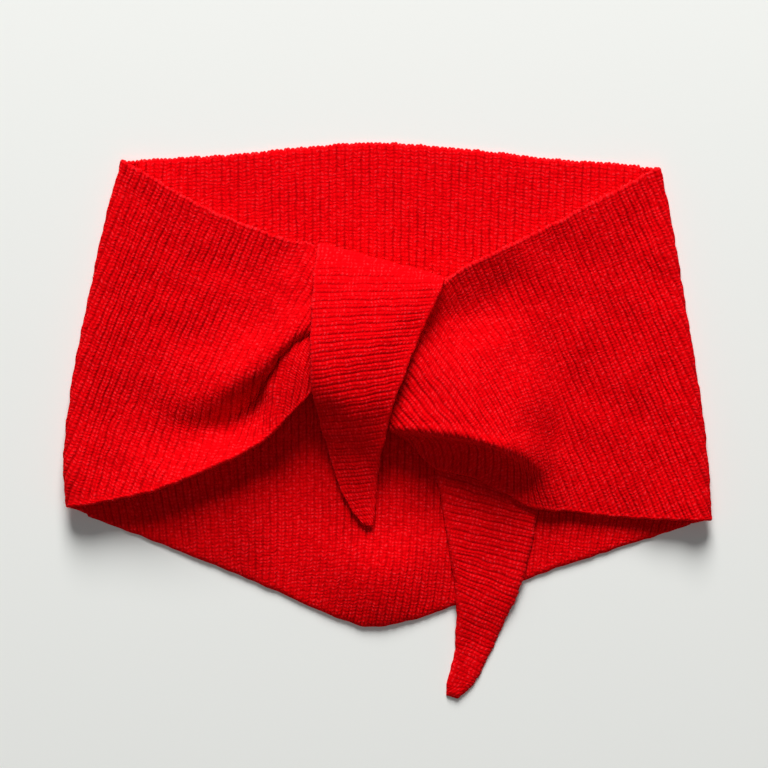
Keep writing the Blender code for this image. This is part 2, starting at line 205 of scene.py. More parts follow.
EDGE_ROWS = (0.0, 0.3, 0.7, 1.2, 1.9, 3.0)  # rows of the mesh next to an edge, by their distance from it
RIB_PHASES = (0, 0.09, 0.19, 0.31, 0.43, 0.5, 0.57, 0.69, 0.81, 0.91)  # columns of the mesh in each rib
COLUMN_STEP = 0.4  # spacing of a dense grid's columns, before they are read again along the ribs
BACK_COLUMNS = 500  # columns of the back panel's dense grid
BACK_ROW_STEP = 4.6  # spacing of the rows in the middle of each stretch
LEFT_ROW_STEP = 1.8
RIGHT_ROW_STEP = 1.9
FRONT_TAIL_ROW_STEP = 1.8
BACK_TAIL_ROW_STEP = 2.2
CORE_ROW_STEP = 2.4
WAVES = 9  # waves in each random field
TINY = 1e-12  # keeps a division clear of zero


# ---------------------------------------------------------------- smooth surfaces

def hermite(knots, values, at):
    """Smooth curve through values (first axis) at knots, read at each position in at."""
    knots = np.asarray(knots, float)
    values = np.asarray(values, float)
    at = np.asarray(at, float)
    spans = np.diff(knots).reshape((-1,) + (1,) * (values.ndim - 1))
    slopes = np.diff(values, axis=0) / spans
    tangents = np.empty_like(values)
    tangents[0] = slopes[0]
    tangents[-1] = slopes[-1]
    tangents[1:-1] = (slopes[:-1] * spans[1:] + slopes[1:] * spans[:-1]) / (spans[1:] + spans[:-1])
    piece = np.clip(np.searchsorted(knots, at, side="right") - 1, 0, len(knots) - 2)
    shape = (-1,) + (1,) * (values.ndim - 1)
    span = np.diff(knots)[piece].reshape(shape)
    part = ((at - knots[piece]) / np.diff(knots)[piece]).reshape(shape)
    square = part * part
    cube = square * part
    return (
        (2 * cube - 3 * square + 1) * values[piece]
        + (cube - 2 * square + part) * span * tangents[piece]
        + (3 * square - 2 * cube) * values[piece + 1]
        + (cube - square) * span * tangents[piece + 1]
    )


def knots_of(rows):
    """Distance from the first row to each row, as a mean over the points of a row."""
    chords = np.linalg.norm(np.diff(np.asarray(rows, float), axis=0), axis=-1)
    while chords.ndim > 1:
        chords = chords.mean(axis=-1)
    return np.concatenate([[0.0], np.cumsum(chords)])


def curve(table, at):
    """The other columns of a table, read at a value of its first column."""
    table = np.asarray(table, float)
    if table[0, 0] > table[-1, 0]:
        table = table[::-1]
    return hermite(table[:, 0], table[:, 1:], np.atleast_1d(at))


def rows_between(length, step):
    """Positions across a stretch of cloth, close together at both edges."""
    edge = np.array(EDGE_ROWS)
    inner = np.linspace(edge[-1], length - edge[-1], max(2, round((length - 2 * edge[-1]) / step)) + 1)
    return np.concatenate([edge[:-1], inner, (length - edge[:-1])[::-1]])


def loft(net, step):
    """Dense grid on the surface through a net of sections. Its rows run across the ribs, step apart."""
    net = np.asarray(net, float)
    turned = np.swapaxes(net, 0, 1)
    across = knots_of(turned[..., :3])
    along = knots_of(net[..., :3])
    lines = hermite(across, turned, rows_between(across[-1], step))
    stops = np.linspace(0, along[-1], round(along[-1] / COLUMN_STEP) + 1)
    return np.swapaxes(hermite(along, np.swapaxes(lines, 0, 1), stops), 0, 1)


def wander(a, b, size, seed):
    """A smooth random field of a and b, about 1 high, whose swells are about size across."""
    random = np.random.default_rng(seed)
    total = np.zeros(np.broadcast(a, b).shape)
    for _ in range(WAVES):
        turn = random.uniform(0, 2 * math.pi)
        pace = 2 * math.pi / (size * random.uniform(0.7, 1.6))
        total += np.cos(pace * (a * math.cos(turn) + b * math.sin(turn)) + random.uniform(0, 2 * math.pi))
    return total / 3


def smooth_step(low, high, x):
    share = np.clip((x - low) / (high - low), 0, 1)
    return share * share * (3 - 2 * share)


# ---------------------------------------------------------------- the knit

def rib_relief(u):
    """Height of a ribbed face over the middle of its ribs: a groove between ribs, a crease down each."""
    phase = (u / RIB) % 1.0
    to_groove = np.minimum(phase, 1 - phase) * RIB
    to_crease = np.abs(phase - 0.5) * RIB
    return (
        -GROOVE * np.exp(-(to_groove / GROOVE_WIDTH) ** 2)
        - CREASE * np.exp(-(to_crease / CREASE_WIDTH) ** 2)
    )


def along_edges(grid):
    """Distance of each point from the first row and from the last row, along its own column."""
    steps = np.linalg.norm(np.diff(grid[..., :3], axis=0), axis=2)
    done = np.concatenate([np.zeros((1, grid.shape[1])), np.cumsum(steps, axis=0)])
    return done, done[-1:] - done


def along_rows(grid):
    """Distance of each point from the first column and from the last column, along its own row."""
    steps = np.linalg.norm(np.diff(grid[..., :3], axis=1), axis=2)
    done = np.concatenate([np.zeros((grid.shape[0], 1)), np.cumsum(steps, axis=1)], axis=1)
    return done, done[:, -1:] - done


def normals_of(grid):
    along = np.gradient(grid[..., :3], axis=0)
    across = np.gradient(grid[..., :3], axis=1)
    normals = np.cross(along, across)
    normals /= np.linalg.norm(normals, axis=2, keepdims=True) + TINY
    if normals[..., 2].mean() < 0:
        normals = -normals
    return normals


def follow_ribs(grid, fields):
    """Read a dense grid again so that its columns run along the ribs. Columns that leave a row are folded
    into its end point. Gives the fields at each point and each point's number."""
    rows = grid.shape[0]
    order = grid[..., 3]
    if order[:, -1].mean() < order[:, 0].mean():
        grid = grid[:, ::-1]
        fields = {name: field[:, ::-1] for name, field in fields.items()}
        order = grid[..., 3]
    order = np.maximum.accumulate(order, axis=1) + np.arange(order.shape[1]) * 1e-7
    low, high = order[:, 0].min(), order[:, -1].max()
    first, last = math.floor(low / RIB) - 1, math.ceil(high / RIB) + 1
    targets = np.array([(rib + phase) * RIB for rib in range(first, last) for phase in RIB_PHASES])
    targets = targets[(targets > low) & (targets < high)]
    targets = np.concatenate([[low - 1e-3], targets, [high + 1e-3]])
    read = {"place": np.empty((rows, len(targets), 3)), "u": np.empty((rows, len(targets)))}
    for name, field in fields.items():
        read[name] = np.empty((rows, len(targets)) + field.shape[2:])
    number = np.empty((rows, len(targets)), int)
    spot = np.arange(len(targets))
    for row in range(rows):
        at = np.clip(targets, order[row, 0], order[row, -1])
        start = np.searchsorted(targets, order[row, 0], side="right") - 1
        stop = np.searchsorted(targets, order[row, -1], side="left")
        number[row] = row * len(targets) + np.clip(spot, max(start, 0), min(stop, len(targets) - 1))
        read["u"][row] = at
        for axis in range(3):
            read["place"][row, :, axis] = np.interp(at, order[row], grid[row, :, axis])
        for name, field in fields.items():
            if field.ndim == 2:
                read[name][row] = np.interp(at, order[row], field[row])
            else:
                for axis in range(field.shape[2]):
                    read[name][row, :, axis] = np.interp(at, order[row], field[row, :, axis])
    return read, number


def loose_fibres(upper, normal, number, maps, many, seed):
    """Short loose fibres rooted in the upper face, each a small closed spike with a bend in it. Gives their
    points, faces of four and of three, and their maps."""
    chance = np.random.default_rng(seed)
    whole = np.argwhere((number[:-1, :-1] != number[:-1, 1:]) & (number[1:, :-1] != number[1:, 1:]))
    i, j = whole.T
    weight = np.linalg.norm(np.cross(upper[i + 1, j] - upper[i, j], upper[i, j + 1] - upper[i, j]), axis=1)
    weight *= (normal[i, j, 2] > 0.3) & (upper[i, j, 2] > FLOOR_LAYER)
    i, j = whole[chance.choice(len(whole), many, p=weight / weight.sum())].T
    down, along = chance.random((many, 1)), chance.random((many, 1))
    root = upper[i, j] + (upper[i + 1, j] - upper[i, j]) * down + (upper[i, j + 1] - upper[i, j]) * along
    up = normal[i, j]
    turn = chance.random((many, 1)) * 2 * math.pi
    side = np.cross(up, np.array([0.3, 0.2, 1.0]))
    side = np.where(np.linalg.norm(side, axis=1, keepdims=True) < 0.1, np.array([1.0, 0.0, 0.0]), side)
    side /= np.linalg.norm(side, axis=1, keepdims=True)
    lean = side * np.cos(turn) + np.cross(up, side) * np.sin(turn)
    length = 0.7 + 1.5 * chance.random((many, 1)) ** 2
    middle = root + (up * 0.75 + lean * 0.5) * length * 0.45
    tip = middle + (up * 0.25 + lean) * length * 0.6
    root = root - up * 0.25
    rings = []
    for centre, thick in ((root, 0.035), (middle, 0.032), (tip, 0.012)):
        for corner in range(3):
            angle = corner * 2 * math.pi / 3
            bow = np.cross(lean, up)
            rings.append(centre + (bow * math.cos(angle) + (up * 0.7 - lean * 0.7) * math.sin(angle)) * thick)
    points = np.stack(rings, axis=1).reshape(-1, 3)
    base = np.arange(many)[:, None] * 9
    fours = np.concatenate([
        base + np.array([ring + k, ring + (k + 1) % 3, ring + 3 + (k + 1) % 3, ring + 3 + k])
        for ring in (0, 3) for k in range(3)
    ])
    threes = np.concatenate([base + np.array([0, 2, 1]), base + np.array([6, 7, 8])])
    own = {label: np.repeat(field[i, j], 9, axis=0) for label, field in maps.items()}
    # a random distance from the cast-on edge, so that some fibres take its painted glint
    own["edges"][:, 0] = np.repeat(chance.random(many) * 3, 9)
    return points, fours, threes, own


def shell_mesh(name, upper, lower, number, maps, fibres=None):
    """One closed mesh of two faces of cloth that share their numbering, the rim between them, and the loose
    fibres on it."""
    a, b = number[:-1, :-1], number[1:, :-1]
    d, c = number[:-1, 1:], number[1:, 1:]
    whole = (a != d) & (b != c)
    quads = np.stack([a[whole], b[whole], c[whole], d[whole]], axis=1)
    wedge_down = (a == d) & (b != c)
    wedge_up = (a != d) & (b == c)
    wedges = np.concatenate([
        np.stack([a[wedge_down], b[wedge_down], c[wedge_down]], axis=1),
        np.stack([a[wedge_up], b[wedge_up], d[wedge_up]], axis=1),
    ])
    edges = np.concatenate(
        [quads[:, [i, (i + 1) % 4]] for i in range(4)] + [wedges[:, [i, (i + 1) % 3]] for i in range(3)]
    )
    count = upper.shape[0] * upper.shape[1]
    keys = edges[:, 0] * count + edges[:, 1]
    back = edges[:, 1] * count + edges[:, 0]
    border = edges[~np.isin(keys, back)]
    points = np.concatenate([upper.reshape(-1, 3), lower.reshape(-1, 3)]) * MM
    rim = np.stack([border[:, 1], border[:, 0], border[:, 0] + count, border[:, 1] + count], axis=1)
    under_quads = quads[:, ::-1] + count
    under_wedges = wedges[:, ::-1] + count
    first = quads[len(quads) // 2]
    normal = np.cross(points[first[2]] - points[first[0]], points[first[3]] - points[first[1]])
    outward = np.dot(normal, points[first[0]] - points[first[0] + count]) > 0
    fours = np.concatenate([quads, under_quads, rim])
    threes = np.concatenate([wedges, under_wedges])
    if not outward:
        fours, threes = fours[:, ::-1], threes[:, ::-1]
    flat_maps = {label: np.concatenate([field.reshape(-1, 2)] * 2) for label, field in maps.items()}
    if fibres:
        more, four_more, three_more, own = fibres
        fours = np.concatenate([fours, four_more + len(points)])
        threes = np.concatenate([threes, three_more + len(points)])
        points = np.concatenate([points, more * MM])
        flat_maps = {label: np.concatenate([field, own[label]]) for label, field in flat_maps.items()}
    used = np.unique(np.concatenate([fours.ravel(), threes.ravel()]))
    renumber = np.full(len(points), -1)
    renumber[used] = np.arange(len(used))
    corners = renumber[np.concatenate([fours.ravel(), threes.ravel()])]
    starts = np.concatenate([np.arange(len(fours)) * 4, len(fours) * 4 + np.arange(len(threes)) * 3])
    mesh = bpy.data.meshes.new(name)
    mesh.vertices.add(len(used))
    mesh.vertices.foreach_set("co", points[used].astype(np.float32).ravel())
    mesh.loops.add(len(corners))
    mesh.loops.foreach_set("vertex_index", corners.astype(np.int32))
    mesh.polygons.add(len(starts))
    mesh.polygons.foreach_set("loop_start", starts.astype(np.int32))
    mesh.update(calc_edges=True)
    for label, field in flat_maps.items():
        layer = mesh.uv_layers.new(name=label)
        layer.data.foreach_set("uv", field[used][corners].astype(np.float32).ravel())
    mesh.validate()
    mesh.shade_smooth()
    return mesh


def linked(name, data):
    """A new object in the scene."""
    thing = bpy.data.objects.new(name, data)
    bpy.context.scene.collection.objects.link(thing)
    return thing


def cloth(name, grid, upper_is_outer=True, ends=(False, False), cast_on_first=True, unevenness=0.35,
          depth=1.0, painted_shading=1.0, strip=1.0, laid=False, bumps=0.8, fibres=2000, shade=1.0, seed=1):
    """A stretch of ribbed cloth on a dense grid of x, y, z and u. ends says whether the first and the last
    column are edges of the cloth. depth says how closed the ribs lie, tone how much painted light and shade
    the cloth gets and shade how much painted shade its grooves get, each a number or a function of x and y.
    strip is how wide the plain selvage is, bumps how far the ribs stand out along the cast-on edge, and laid
    is for cloth that lies flat."""
    from_first, from_last = along_edges(grid)
    from_start, from_stop = along_rows(grid)
    edge = np.minimum(from_first, from_last)
    if ends[0]:
        edge = np.minimum(edge, from_start)
    if ends[1]:
        edge = np.minimum(edge, from_stop)
    cast_on, selvage = (from_first, from_last) if cast_on_first else (from_last, from_first)
    fields = {"normal": normals_of(grid), "edge": edge, "cast_on": cast_on, "selvage": selvage}
    for label, field in (("depth", depth), ("painted_shading", painted_shading), ("shade", shade)):
        varies = callable(field)
        fields[label] = field(grid[..., 0], grid[..., 1]) if varies else np.full(grid.shape[:2], field)
    read, number = follow_ribs(grid, fields)
    place, u, normal = read["place"], read["u"], read["normal"]
    normal /= np.linalg.norm(normal, axis=2, keepdims=True) + TINY

    # the ribs wander a little, and the cloth is never quite even
    x, y = place[..., 0].copy(), place[..., 1].copy()
    place = place.copy()
    place[..., 0] += 0.22 * wander(x, y, 13, 11) + 0.14 * wander(x, y, 6.5, 12)
    place[..., 1] += 0.25 * wander(x, y, 11, 13)
    raised = smooth_step(FLOOR_LAYER + 1, FLOOR_LAYER + 5, place[..., 2])
    place[..., 2] += unevenness * raised * wander(x, y, 26, 20 + seed)

    # the cast-on edge bulges at each leg of a rib
    phase = (u / RIB) % 1.0
    to_groove = np.minimum(phase, 1 - phase) * RIB
    bulge = 0.55 * np.abs(np.sin(2 * math.pi * phase)) ** 0.7 - 0.5 * np.exp(-(to_groove / 0.5) ** 2)
    bulge += 0.22 * wander(u, u * 0.3, 5, 31)
    outward = np.gradient(place, axis=0)
    outward /= np.linalg.norm(outward, axis=2, keepdims=True) + TINY
    if cast_on_first:
        outward = -outward
    near = np.exp(-(read["cast_on"] / 1.3) ** 2)
    place += outward * (bumps * near * bulge)[..., None]

    # the cloth thins out round its edges, and its ribs fade at the selvage
    rounding = LAID_ROUND if laid else EDGE_ROUND
    inward = 1 - np.clip(read["edge"] / rounding, THINNEST, 1)
    half = WALL / 2 * np.sqrt(np.clip(1 - inward ** 2, 0, 1))
    if laid:
        place[..., 2] -= WALL / 2 - half
    share = half / (WALL / 2)
    closed = read["depth"] * (1 + 0.14 * wander(x, y, 34, 40 + seed))
    closed *= 0.12 + 0.88 * smooth_step(strip * 0.7, strip * 1.7, read["selvage"])
    closed *= 1 - (1 - bumps) * smooth_step(3.4, 0.4, read["cast_on"])
    outer = rib_relief(u) * share * closed
    inner = rib_relief(u + RIB / 2) * share * closed
    if not upper_is_outer:
        outer, inner = inner, outer
    upper = place + normal * (half + outer)[..., None]
    lower = place - normal * (half + inner)[..., None]
    knit = np.stack([(u if upper_is_outer else u + RIB / 2) / RIB, read["cast_on"] / STITCH], axis=2)
    edges = np.stack([read["cast_on"], closed], axis=2)
    # one map carries the piece's painted light and shade and the painted shade of its grooves
    maps = {"knit": knit, "edges": edges, "painted_shading": np.dstack([read["painted_shading"], read["shade"]])}
    loose = loose_fibres(upper, normal, number, maps, fibres, 60 + seed)
    return linked(name, shell_mesh(name, upper, lower, number, maps, loose))


# ---------------------------------------------------------------- the five stretches

def back_ribs(x, y):
    """u on the back panel: a slight fan, which gives way near the lower edge and near both side folds."""
    u = FAN_PULL * (x - FAN_CENTRE) / (1 + y / FAN)
    low = np.maximum(-50 - y, 0)
    u = u + 0.0022 * low * low * np.exp(-((x + 15) / 55) ** 2)
    for table, start, stop in ((LEFT_SLACK, -60, -158), (RIGHT_SLACK, 62, 158)):
        slack = curve(table, np.clip(y, table[-1][0], table[0][0]).ravel())[:, 0].reshape(np.shape(y))
        share = np.clip((x - start) / (stop - start), 0, 1)
        u = u + slack * share * share * (3 - 2 * share)
    return u


def fold_line(fold, edges, inward, reach, level):
    """A line beside a side fold, reach in from its outermost line. Level -1 is the lower layer and 1 the
    upper one."""
    at_top, at_bottom = edges["upper" if level > 0 else "lower"]
    line = []
    for share, (y, x, lift) in zip(np.linspace(0, 1, len(fold)), fold):
        fall = at_top + (at_bottom - at_top) * share
        line.append((x + inward * reach, y - fall * reach, FLOOR_LAYER + lift / 2 * (1 + level)))
    return line


def fold_sections(fold, edges, inward, turned):
    """The round of a side fold with its u, which runs on from the back round the bend up to turned."""
    profile = [(BEND + LEAD, -1)]
    for angle in (-90, -50, -15, 15, 50, 90):
        turn = math.radians(angle)
        profile.append((BEND * (1 - math.cos(turn)), math.sin(turn)))
    lines = np.array([fold_line(fold, edges, inward, reach, level) for reach, level in profile])
    start = back_ribs(lines[0, :, 0], lines[0, :, 1])
    steps = np.linalg.norm(np.diff(lines, axis=0), axis=2)
    gone = np.concatenate([np.zeros((1, lines.shape[1])), np.cumsum(steps, axis=0)])
    share = gone / gone[-1]
    return [
        [tuple(point) for point in np.column_stack([line, start + (turned - start) * part])]
        for line, part in zip(lines, share)
    ]


def back_side(fold, edges, inward, down):
    """The back panel's edge at a side fold, read at shares of its length."""
    line = np.array(fold_line(fold, edges, inward, BEND + LEAD, -1))[:, :2]
    knots = knots_of(line)
    return hermite(knots, line, down * knots[-1])


def swell(x, y):
    """How far the back panel stands off the floor."""
    left_end, right_end = BOTTOM_EDGE[0][0], BOTTOM_EDGE[-1][0]
    within = y - curve(BOTTOM_EDGE, np.clip(x, left_end, right_end).ravel())[:, 0].reshape(np.shape(x))
    past = within - SWELL_AT
    before = 1 - (np.minimum(past, 0) / SWELL_AT) ** 2
    beyond = np.exp(-(np.maximum(past, 0) / SWELL_FADE) ** 2)
    rise = np.where(past < 0, before, beyond)
    lift = SWELL * np.exp(-((x - SWELL_CENTRE) / SWELL_WIDTH) ** 2) * np.clip(rise, 0, 1)
    slope = np.sin(np.pi / 2 * np.clip(within / SLOPE_LENGTH, 0, 1)) * smooth_step(8, -28, y)
    aside = smooth_step(-150, -112, x) * smooth_step(-46, -84, x)
    return lift + SLOPE * slope * aside


def back_panel_grid():
    """The middle of the back panel, spanned between its four edges."""
    left = np.array(fold_line(LEFT_FOLD, LEFT_EDGES, 1, BEND + LEAD, -1))[:, :2]
    length = knots_of(left)[-1]
    down = rows_between(length, BACK_ROW_STEP) / length
    left = back_side(LEFT_FOLD, LEFT_EDGES, 1, down)
    right = back_side(RIGHT_FOLD, RIGHT_EDGES, -1, down)
    share = np.linspace(0, 1, BACK_COLUMNS)[:, None]
    top_x = left[0, 0] + (right[0, 0] - left[0, 0]) * share[:, 0]
    bottom_x = left[-1, 0] + (right[-1, 0] - left[-1, 0]) * share[:, 0]
    top = np.column_stack([top_x, curve(TOP_EDGE, top_x)[:, 0]])
    bottom = np.column_stack([bottom_x, curve(BOTTOM_EDGE, bottom_x)[:, 0]])
    top[0], top[-1], bottom[0], bottom[-1] = left[0], right[0], left[-1], right[-1]
    down = down[None, :, None]
    side = share[:, :, None]
    plan = (
        top[:, None] * (1 - down) + bottom[:, None] * down
        + left[None] * (1 - side) + right[None] * side
        - (top[0] * (1 - side) + top[-1] * side) * (1 - down)
        - (bottom[0] * (1 - side) + bottom[-1] * side) * down
    )
    plan = np.swapaxes(plan, 0, 1)
    x, y = plan[..., 0], plan[..., 1]
    return np.dstack([x, y, FLOOR_LAYER + swell(x, y), back_ribs(x, y)])


def front_net(folds, lines, ribs):
    """The sections of a side fold, followed by the lines across the front with their u."""
    return folds + [[point + (u,) for point, u in zip(line, values)] for line, values in zip(lines, ribs)]


def tail_net(rows, slants, droop=0.0):
    """Sections of a tail, u along its middle. The slants tip the ribs against the rows."""
    centres = np.array([
        ((r[0] + r[2]) / 2, (r[1] + r[3]) / 2, r[5] if len(r) > 5 else SECOND_LAYER) for r in rows
    ])
    lengths = knots_of(centres)
    net = []
    for row, length, slant in zip(rows, lengths, slants):
        left_x, left_y, right_x, right_y = row[:4]
        heights = row[4:] if len(row) > 4 else (SECOND_LAYER,) * 3
        width = math.hypot(right_x - left_x, right_y - left_y)
        line = []
        for share in (0, 0.12, 0.5, 0.88, 1):
            height = hermite((0, 0.5, 1), np.array(heights)[:, None], [share])[0, 0]
            aside = (share - 0.5) * width
            fall = (left_y - right_y) / width * aside * slant + droop * max(aside, 0) ** 2
            x, y = left_x + (right_x - left_x) * share, left_y + (right_y - left_y) * share
            line.append((x, y, height, length + fall))
        net.append(line)
    return net


def back_tail_grid():
    """The middle of the back tail, which comes down from the back panel to the floor."""
    grid = loft(tail_net(BACK_TAIL, BACK_TAIL_SLANT), BACK_TAIL_ROW_STEP)
    x, y = grid[..., 0], grid[..., 1]
    past = curve(BOTTOM_EDGE, x.ravel())[:, 0].reshape(x.shape) - STEP_START - y
    share = smooth_step(0, 1, past / STEP_DOWN + 0.5)
    grid[..., 2] = SECOND_LAYER - (SECOND_LAYER - FLOOR_LAYER) * share + swell(x, y)
    return grid


def front_tail_grid():
    """The middle of the front tail, nowhere lower than on the back panel."""
    grid = loft(tail_net(FRONT_TAIL, FRONT_TAIL_SLANT, FRONT_TAIL_DROOP), FRONT_TAIL_ROW_STEP)
    grid[..., 2] = np.maximum(grid[..., 2], SECOND_LAYER + swell(grid[..., 0], grid[..., 1]))
    return grid


def read_down(table):
    """A depth of the ribs that changes with y only."""
    def depth(x, y):
        return curve(table, np.clip(y, table[-1][0], table[0][0]).ravel())[:, 0].reshape(np.shape(y))
    return depth


def spread(x, y, where, size, drop):
    """A soft round patch of height drop."""
    return drop * np.exp(-(((x - where[0]) / size[0]) ** 2) - ((y - where[1]) / size[1]) ** 2)


# painted shade: the left front a little darker, and darker again in patches at its top and beside the left
# fold
def left_painted_shade(x, y):
    return 0.96 - spread(x, y, (-118, 100), (36, 26), 0.07) - spread(x, y, (-144, 20), (20, 36), 0.09)


def left_depth(x, y):
    open_ribs = spread(x, y, (-58, 62), (24, 20), 0.36) + spread(x, y, (-85, -18), (40, 9), 0.3)
    open_ribs += spread(x, y, (-101, 106), (26, 12), 0.28)
    return np.clip(0.95 - open_ribs - spread(x, y, (-58, 36), (26, 9), 0.25), 0.35, 1)


def right_depth(x, y):
    open_ribs = spread(x, y, (44, 34), (30, 26), 0.36) + spread(x, y, (100, 40), (16, 60), 0.1)
    open_ribs += spread(x, y, (33, 62), (17, 10), 0.42) + spread(x, y, (66, 86), (24, 12), 0.4)
    open_ribs += spread(x, y, (130, -30), (40, 26), 0.14)
    return np.clip(0.85 - open_ribs - spread(x, y, (38, -9), (40, 8), 0.25), 0.35, 1)


def back_depth(x, y):
    return 0.8 + 0.12 * smooth_step(20, -40, y)


def core():
    """The knot's inside: a lump of the same cloth under the front tail."""
    low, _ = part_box("knot_core")
    grid = loft(tail_net(FRONT_TAIL, FRONT_TAIL_SLANT, FRONT_TAIL_DROOP), CORE_ROW_STEP)
    rows, columns = grid.shape[:2]
    crown = grid[int(rows * 0.29):int(rows * 0.69), int(columns * 0.26):int(columns * 0.59)].copy()
    crown[..., :3] -= normals_of(crown) * (WALL / 2 + 0.5)
    side = np.linspace(-1, 1, crown.shape[0])[:, None]
    end = np.linspace(-1, 1, crown.shape[1])[None, :]
    crown[..., 2] -= 3.0 * np.maximum(side ** 4, end ** 4)
    ribbed = rib_relief(crown[..., 3])
    upper = crown[..., :3].copy()
    upper[..., 2] += ribbed * 0.7
    lower = crown[..., :3].copy()
    lower[..., 2] = low.z / MM + 0.05
    knit = np.stack([crown[..., 3] / RIB, crown[..., 0] / STITCH], axis=2)
    upper, lower, knit = upper[:, ::2], lower[:, ::2], knit[:, ::2]
    far_from_edge, half_closed = np.full(knit.shape[:2], 20.0), np.full(knit.shape[:2], 0.5)
    edges = np.stack([far_from_edge, half_closed], axis=2)
    maps = {"knit": knit, "edges": edges, "painted_shading": np.ones(knit.shape)}
    number = np.arange(knit.shape[0] * knit.shape[1]).reshape(knit.shape[:2])
    return linked("core_knit", shell_mesh("core_knit", upper, lower, number, maps))


# ---------------------------------------------------------------- the yarn's material

DARK_RED = (0.09, 0.0001, 0.0006, 1)
LIGHT_RED = (0.92, 0.0006, 0.0034, 1)
PAINTED_GLINT_RED = (1.0, 0.055, 0.072, 1)  # painted glints on the fuzz and along the cast-on edge
SHEEN_RED = (1.0, 0.08, 0.10, 1)
PLAIN_RED = (0.8, 0.004, 0.01, 1)  # without nodes
PALE_FLOOR = (0.885, 0.895, 0.86, 1)


class Tree:
    """Short calls for the nodes of one material."""

    def __init__(self, material):
        self.nodes = material.node_tree.nodes
        self.links = material.node_tree.links

    def node(self, kind, settings=None, **inputs):
        made = self.nodes.new(kind)
        for name, value in (settings or {}).items():
            setattr(made, name, value)
        for name, value in inputs.items():
            self.put(made.inputs[name.replace("_", " ")], value)
        return made

    def put(self, socket, value):
        if isinstance(value, bpy.types.NodeSocket):
            self.links.new(value, socket)
        else:
            socket.default_value = value

    def map(self, name):
        """The two values of a map of the mesh."""
        place = self.node("ShaderNodeUVMap", {"uv_map": name}).outputs[0]
        split = self.node("ShaderNodeSeparateXYZ", Vector=place)
        return split.outputs[0], split.outputs[1]

    def math(self, operation, *values):
        made = self.nodes.new("ShaderNodeMath")
        made.operation = operation
        for index, value in enumerate(values):
            self.put(made.inputs[index], value)
        return made.outputs[0]

    def ramp(self, value, low, high, to_low=0.0, to_high=1.0):
        made = self.nodes.new("ShaderNodeMapRange")
        made.interpolation_type = "SMOOTHSTEP"
        for socket, setting in zip(made.inputs, (value, low, high, to_low, to_high)):
            self.put(socket, setting)
        return made.outputs[0]


